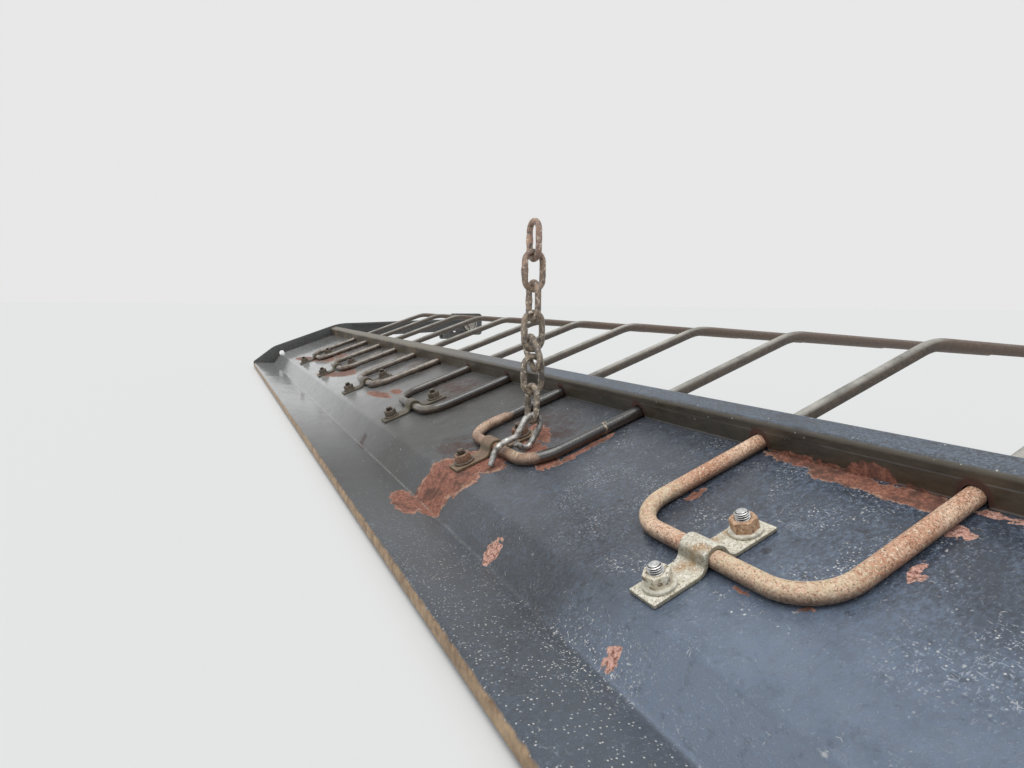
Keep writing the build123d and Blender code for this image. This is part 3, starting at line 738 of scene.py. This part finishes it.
def merge(pieces):
    """The pieces joined to the first of them."""
    bpy.ops.object.select_all(action="DESELECT")
    for piece in pieces:
        piece.select_set(True)
    bpy.context.view_layer.objects.active = pieces[0]
    bpy.ops.object.join()
    return pieces[0]


paint(nut, nut_zinc)
paint(head, nut_zinc)
paint(washer, washer_zinc)
# Faces in the thread's valleys and the stud's side take the dark material: painted shade, with dirt.
for part in (stud, thread):
    paint(part, stud_steel)
    part.data.materials.append(thread_shade_and_dirt)
    for face in part.data.polygons:
        reach = hypot(face.center.x, face.center.y)
        if 0.0030 < reach < 0.0035 and (part is thread or abs(face.normal.z) < 0.1):
            face.material_index = 1
bolt = merge([nut, head, washer, stud, thread])
smooth(bolt, 35)
nut_turns = ((12, 40), (8, 25), (50, 18), (33, 5), (22, 48), (40, 8))
for number, (x, turns) in enumerate(zip(clamp_x, nut_turns), 1):
    for spot, off, turn in (("front", bolt_off, turns[0]), ("rear", -bolt_off, turns[1])):
        seat = mathutils.Euler((slope, 0, 0)).to_matrix() @ mathutils.Euler((0, 0, radians(turn))).to_matrix()
        at = (x, *on_slope(clamp_down + off))
        piece = copy_of(bolt, f"strap_bolt_{number}_{spot}", at, seat.to_euler())
        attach(piece, "guard")
        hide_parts(f"bolt_{number}_{spot}")
bpy.data.objects.remove(bolt)

# Lift chain: oval links of 5.5 mm wire, each butt welded on one side, so there the wire is a little thicker.
# It is bare steel, rusty brown above and rubbed greyer below, with lumps of scale, and pale patches all over
# that are partly dirt and partly painted highlights.
bpy.ops.object.select_all(action="DESELECT")
wire_radius = 0.00275
end_radius = 0.00825
half_straight = 0.007
third_link_lean = radians(-41.7)
bpy.ops.mesh.primitive_torus_add(major_radius=end_radius, minor_radius=wire_radius, major_segments=28,
                                 minor_segments=14, rotation=(pi / 2, 0, 0))
link = bpy.context.object
link.name = "link"
bpy.ops.object.transform_apply()

# The ring is pulled apart into two ends with straight sides between, and one side is thickened at its weld.
for sign in (1, -1):
    choose(link, lambda co: co.z * sign > 0.0001)
    bpy.ops.transform.translate(value=(0, 0, half_straight * sign))
    bpy.ops.object.mode_set(mode="OBJECT")
for side in link.data.edges:
    ends = [link.data.vertices[index].co for index in side.vertices]
    side.select = abs(ends[0].z - ends[1].z) > 0.005
for corner in link.data.vertices:
    corner.select = False
for face in link.data.polygons:
    face.select = False
bpy.ops.object.mode_set(mode="EDIT")
bpy.ops.mesh.select_mode(type="EDGE")
bpy.ops.mesh.subdivide(number_cuts=4)
bpy.ops.object.mode_set(mode="OBJECT")
choose(link, lambda co: co.x < 0 and abs(co.z) < 0.0020)
bpy.ops.transform.resize(value=(1.13, 1.13, 1.0), center_override=(-end_radius, 0, 0))
bpy.ops.object.mode_set(mode="OBJECT")
settle(link, "SUBSURF", levels=2, render_levels=2)
scale_lumps = bpy.data.textures.new("scale_lumps", "CLOUDS")
scale_lumps.noise_scale = 0.0035
scale_lumps.noise_depth = 2
chain_steel, shader, place = finish("rusty_chain", 0.42, metallic=0.15, ior=2.2)
height = axes(ragged(place, 0.03, 40))[2]
broad = grain(place, 120, 6, 0.65)
upper = blend(broad, (0.135, 0.058, 0.032), (0.52, 0.300, 0.185))
lower = blend(broad, (0.055, 0.034, 0.020), (0.34, 0.25, 0.155))
coat = blend(spread(height, 0.045, 0.110), lower, upper)
# Pale cream patches: partly dirt, partly painted highlights.
coat = blend(times(grain(place, 300, 5, 0.72, 0.56, 0.62), 0.9), coat, (0.86, 0.73, 0.57))
coat = blend(grain(place, 210, 5, 0.7, 0.54, 0.60), coat, (0.038, 0.022, 0.014))
show(shader, coat)
relief(shader, grain(place, 700, 7, 0.7, 0.36, 0.62), 0.00028)
paint(link, chain_steel)
for number in range(1, 8):
    low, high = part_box(f"link_{number}")
    at = [(a + b) / 2 for a, b in zip(low, high)]
    turn = (0, 0, 0) if number % 2 else (0, 0, pi / 2)
    if number == 3:
        turn = (0, third_link_lean, 0)
    piece = copy_of(link, f"chain_link_{number}", at, turn)
    settle(piece, "DISPLACE", texture=scale_lumps, texture_coords="LOCAL", strength=0.0004, mid_level=0.68)
    only(piece)
    bpy.ops.object.shade_smooth()
    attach(piece, "chain")
    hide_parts(f"link_{number}")
bpy.data.objects.remove(link)

# Chain hook: 5 mm wire bent to an eye round the lowest link and on over the tine, hammered and rubbed bright.
# Its two cut ends are rounded off, and dark nicks and a little rust are left in the hollows.


def freed(solid, name):
    """A copy of a CAD solid with a mesh of its own, closed along the seams of its faces."""
    piece = copy_of(bpy.data.objects[solid], name)
    for key in list(piece.keys()):
        del piece[key]
    bpy.ops.object.mode_set(mode="EDIT")
    bpy.ops.mesh.select_all(action="SELECT")
    bpy.ops.mesh.remove_doubles(threshold=0.000005)
    bpy.ops.object.mode_set(mode="OBJECT")
    return piece


hook = freed("chain_hook", "lift_hook")
settle(hook, "REMESH", mode="VOXEL", voxel_size=0.00055)
settle(hook, "SMOOTH", factor=0.5, iterations=2)
hammer_marks = bpy.data.textures.new("hammer_marks", "CLOUDS")
hammer_marks.noise_scale = 0.004
settle(hook, "DISPLACE", texture=hammer_marks, texture_coords="LOCAL", strength=0.0006, mid_level=0.15)
bpy.ops.object.shade_smooth()
hook_steel, shader, place = finish("bright_hammered_steel", 0.42, metallic=0.7, ior=1.6)
broad = grain(place, 170, 6, 0.65, 0.38, 0.62)
coat = blend(broad, (0.20, 0.185, 0.165), (0.62, 0.605, 0.58))
coat = blend(grain(place, 300, 5, 0.65, 0.56, 0.68), coat, (0.085, 0.06, 0.045))
show(shader, coat, spread(broad, 0, 1, 0.62, 0.36))
relief(shader, grain(place, 520, 6, 0.65, 0.3, 0.7), 0.00016)
paint(hook, hook_steel)
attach(hook, "guard")
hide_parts("chain_hook")

# End arms, wall brackets and stops: plate cut to shape, bent or welded, and painted the sheet's charcoal.
# Dust has settled on their tops, the edges are worn to bare metal, and rust runs from the holes.
plate_paint, shader, place = finish("charcoal_paint_plate", 0.42, ior=1.6)
clouds = grain(place, 12, 6, 0.6)
mottle = grain(place, 200, 8, 0.7, 0.40, 0.66)
colour = blend(clouds, (0.034, 0.034, 0.032), (0.066, 0.064, 0.059))
colour = blend(times(mottle, 0.55), colour, (0.13, 0.135, 0.145))
dust = times(spread(facing_up(shader), 0.5, 0.9), grain(place, 60, 6, 0.6))
colour = blend(times(dust, 0.6), colour, (0.21, 0.185, 0.15))
chips = grain(place, 75, 7, 0.7, 0.63, 0.66)
colour = blend(chips, colour, blend(grain(place, 330, 6, 0.7), (0.15, 0.06, 0.04), (0.30, 0.15, 0.10)))
colour = blend(specks(place, 240, 0.20, 0.14), colour, (0.50, 0.47, 0.42))
from_middle = node(place, "Math", {0: plus(axes(place)[0], -middle)}, operation="ABSOLUTE").outputs[0]
at_wall = spread(from_middle, 1.070, 1.071)
torn = ragged(place, 0.006, 110)
rings = [times(along_line(torn, y, z, 0.011), at_wall) for y in (0.040, -0.040) for z in (0.020, -0.020)]
eye_rust = most(along_line(torn, 0.0, 0.0, 0.026), *rings)
colour = blend(times(eye_rust, 0.8), colour, (0.125, 0.062, 0.034))
show(shader, colour, spread(most(chips, eye_rust, dust), 0, 1, 0.38, 0.82))
relief(shader, plus(mottle, times(chips, -1.5)), 0.00012)


def eased(solid, name, width, body, coating):
    """A copy of a CAD solid with its sharp edges rounded a little, which takes the solid's place."""
    piece = freed(solid, name)
    settle(piece, "BEVEL", width=width, segments=3, limit_method="ANGLE", angle_limit=radians(40))
    smooth(piece, 35)
    paint(piece, coating)
    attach(piece, body)
    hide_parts(solid)


for side in ("left", "right"):
    eased(f"arm_{side}", f"end_arm_{side}", 0.0006, "guard", plate_paint)
    eased(f"bracket_{side}", f"wall_bracket_{side}", 0.0008, "brackets", plate_paint)
    eased(f"stop_{side}", f"rest_stop_{side}", 0.0012, "brackets", plate_paint)

# Welds: stitch beads that hold the end arms to the sheet and the rail, the bushes in the arms and the stops
# on their brackets. Each is a row of small ripples laid by hand, painted over and rusting through in patches.
bpy.ops.object.select_all(action="DESELECT")
bpy.ops.mesh.primitive_uv_sphere_add(segments=10, ring_count=6, radius=0.0019)
ripple = bpy.context.object
ripple.name = "ripple"
bpy.ops.object.mode_set(mode="EDIT")
bpy.ops.transform.resize(value=(1.0, 0.62, 0.80))
bpy.ops.object.mode_set(mode="OBJECT")
only(ripple)
bpy.ops.object.shade_smooth()
weld_paint, shader, place = finish("painted_weld", 0.55, ior=1.6)
broad = grain(place, 110, 4, 0.65)
colour = blend(broad, (0.035, 0.034, 0.034), (0.085, 0.080, 0.074))
colour = blend(grain(place, 210, 4, 0.65, 0.52, 0.62), colour, (0.17, 0.085, 0.048))
show(shader, colour, spread(broad, 0, 1, 0.72, 0.42))
relief(shader, grain(place, 520, 4, 0.65, 0.3, 0.7), 0.00012)
ripple.data.materials.append(weld_paint)


def bead(length, at, turn=(0, 0, 0)):
    """A straight run of ripples along Y, turned and set on its seam."""
    run = copy_of(ripple, "bead")
    count = round(length / ripple_step)
    settle(run, "ARRAY", count=count, use_relative_offset=False, use_constant_offset=True,
           constant_offset_displace=(0, ripple_step, 0))
    run.location = (0, -ripple_step / 2 * (count - 1), 0)
    only(run)
    bpy.ops.object.transform_apply()
    run.rotation_euler = turn
    bpy.ops.object.transform_apply()
    run.location = at
    bpy.ops.object.transform_apply()
    return run


def ring_bead(x, radius):
    """A run of ripples round a bush, about the pivot's axis."""
    run = copy_of(ripple, "bead", (0, 0, radius))
    bpy.ops.object.mode_set(mode="EDIT")
    bpy.ops.mesh.select_all(action="SELECT")
    bpy.ops.mesh.spin(steps=68, angle=2 * pi * 68 / 69, dupli=True, center=(0, 0, 0), axis=(1, 0, 0))
    bpy.ops.object.mode_set(mode="OBJECT")
    run.location = (x, 0, 0)
    only(run)
    bpy.ops.object.transform_apply()
    return run


def joined(beads, name, body):
    """The runs made one piece that rides on a body."""
    piece = merge(beads)
    piece.name = name
    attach(piece, body)


ripple_step = 0.0016
arm_inner = 1.0510
arm_outer = 1.0570
bracket_inner = 1.0715
bush_rim = 0.0172
stop_front = -0.0852
stop_rear = -0.0648
stop_height = -0.0328
stop_foot = -0.0430
sunk = 0.0004
over = sunk
under = -0.003 - sunk
half_band = [(a + b) / 2 for a, b in zip(second_bend, first_bend)]
half_lip = [(a + b) / 2 for a, b in zip(first_bend, lip_edge)]
guard_beads = []
bracket_beads = []
for hand in (1, -1):
    inner = middle + hand * (arm_inner - sunk)
    for off in (over, under):
        for down in (0.022, 0.076, 0.130):
            guard_beads.append(bead(0.030, (inner, *on_slope(down, off)), (slope, 0, 0)))
        guard_beads.append(bead(0.020, (inner, half_band[0], half_band[1] + off * 1.5), (band_fall, 0, 0)))
        guard_beads.append(bead(0.026, (inner, half_lip[0], half_lip[1] + off), (-lip_rise, 0, 0)))
    guard_beads.append(bead(0.014, (inner, *on_slope(-0.009, rail_height + 0.0003)), (slope, 0, 0)))
    guard_beads.append(bead(0.016, (inner, *on_slope(sunk, rail_height / 2)), (slope + pi / 2, 0, 0)))
    for off in (arm_inner - 0.0003, arm_outer + 0.0003):
        guard_beads.append(ring_bead(middle + hand * off, bush_rim))
    seam = middle + hand * (bracket_inner - sunk)
    for end in (stop_front, stop_rear):
        bracket_beads.append(bead(0.016, (seam, end, stop_height), (pi / 2, 0, 0)))
    bracket_beads.append(bead(0.016, (seam, (stop_front + stop_rear) / 2, stop_foot)))
for number in range(-6, 7):
    guard_beads.append(bead(0.030, (middle + number * 0.15, *on_slope(-0.0194, 0.0002)), (0, 0, pi / 2)))
joined(guard_beads, "guard_welds", "guard")
joined(bracket_beads, "bracket_welds", "brackets")
bpy.data.objects.remove(ripple)

# Pivots: turned bushes welded into the arms, pins through them, plain washers and sprung linch pins.
# They are bare steel, greasy and dark where they turn, with a bright ring where the washer rubs.
pivot_steel, shader, place = finish("greased_bare_steel", 0.36, metallic=0.85, ior=1.6)
broad = grain(place, 90, 6, 0.65)
turning = grain(stretched(place, (1.0, 0.05, 0.05)), 1500, 3, 0.6, 0.3, 0.7)
coat = blend(broad, (0.13, 0.105, 0.085), (0.44, 0.42, 0.39))
coat = blend(times(turning, 0.4), coat, (0.56, 0.54, 0.50))
coat = blend(grain(place, 130, 5, 0.65, 0.56, 0.68), coat, (0.16, 0.075, 0.04))
show(shader, coat, spread(broad, 0, 1, 0.60, 0.30))
relief(shader, plus(turning, broad), 0.00006)
for side in ("left", "right"):
    eased(f"bush_{side}", f"arm_bush_{side}", 0.0006, "guard", pivot_steel)
    eased(f"pin_{side}", f"pivot_pin_{side}", 0.0008, "brackets", pivot_steel)
pin_zinc, shader, place = finish("zinc_washer_and_linch_pin", 0.45, metallic=0.6, ior=1.6)
broad = grain(place, 160, 6, 0.65)
coat = blend(broad, (0.34, 0.32, 0.26), (0.62, 0.60, 0.54))
coat = blend(grain(place, 240, 5, 0.65, 0.57, 0.66), coat, (0.24, 0.13, 0.075))
show(shader, coat, spread(broad, 0, 1, 0.60, 0.36))
relief(shader, grain(place, 600, 5, 0.6, 0.3, 0.7), 0.00012)
for side in ("left", "right"):
    eased(f"washer_{side}", f"pin_washer_{side}", 0.0005, "brackets", pin_zinc)
    eased(f"linch_{side}", f"linch_pin_{side}", 0.0004, "brackets", pin_zinc)

# Linch rings: 2.8 mm spring wire bent to a ring, hinged in each linch pin's head and snapped down round the
# pivot pin's end, so that the linch pin can't shake out. The wire is zinc plated and gone dull.
ring_radius = 0.0202
ring_off = 1.0330
ring_lean = radians(-7.5)
for name, hand in (("linch_ring_left", 1), ("linch_ring_right", -1)):
    bpy.ops.object.select_all(action="DESELECT")
    bpy.ops.mesh.primitive_torus_add(major_radius=ring_radius, minor_radius=0.0014, major_segments=56,
                                     minor_segments=12, rotation=(0, pi / 2, 0))
    ring_wire = bpy.context.object
    ring_wire.name = name
    bpy.ops.object.transform_apply()
    ring_wire.rotation_euler = (0, ring_lean * hand, 0)
    ring_wire.location = (middle + hand * ring_off, 0, 0.0012)
    bpy.ops.object.transform_apply()
    bpy.ops.object.shade_smooth()
    ring_wire.data.materials.append(pin_zinc)
    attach(ring_wire, "brackets")
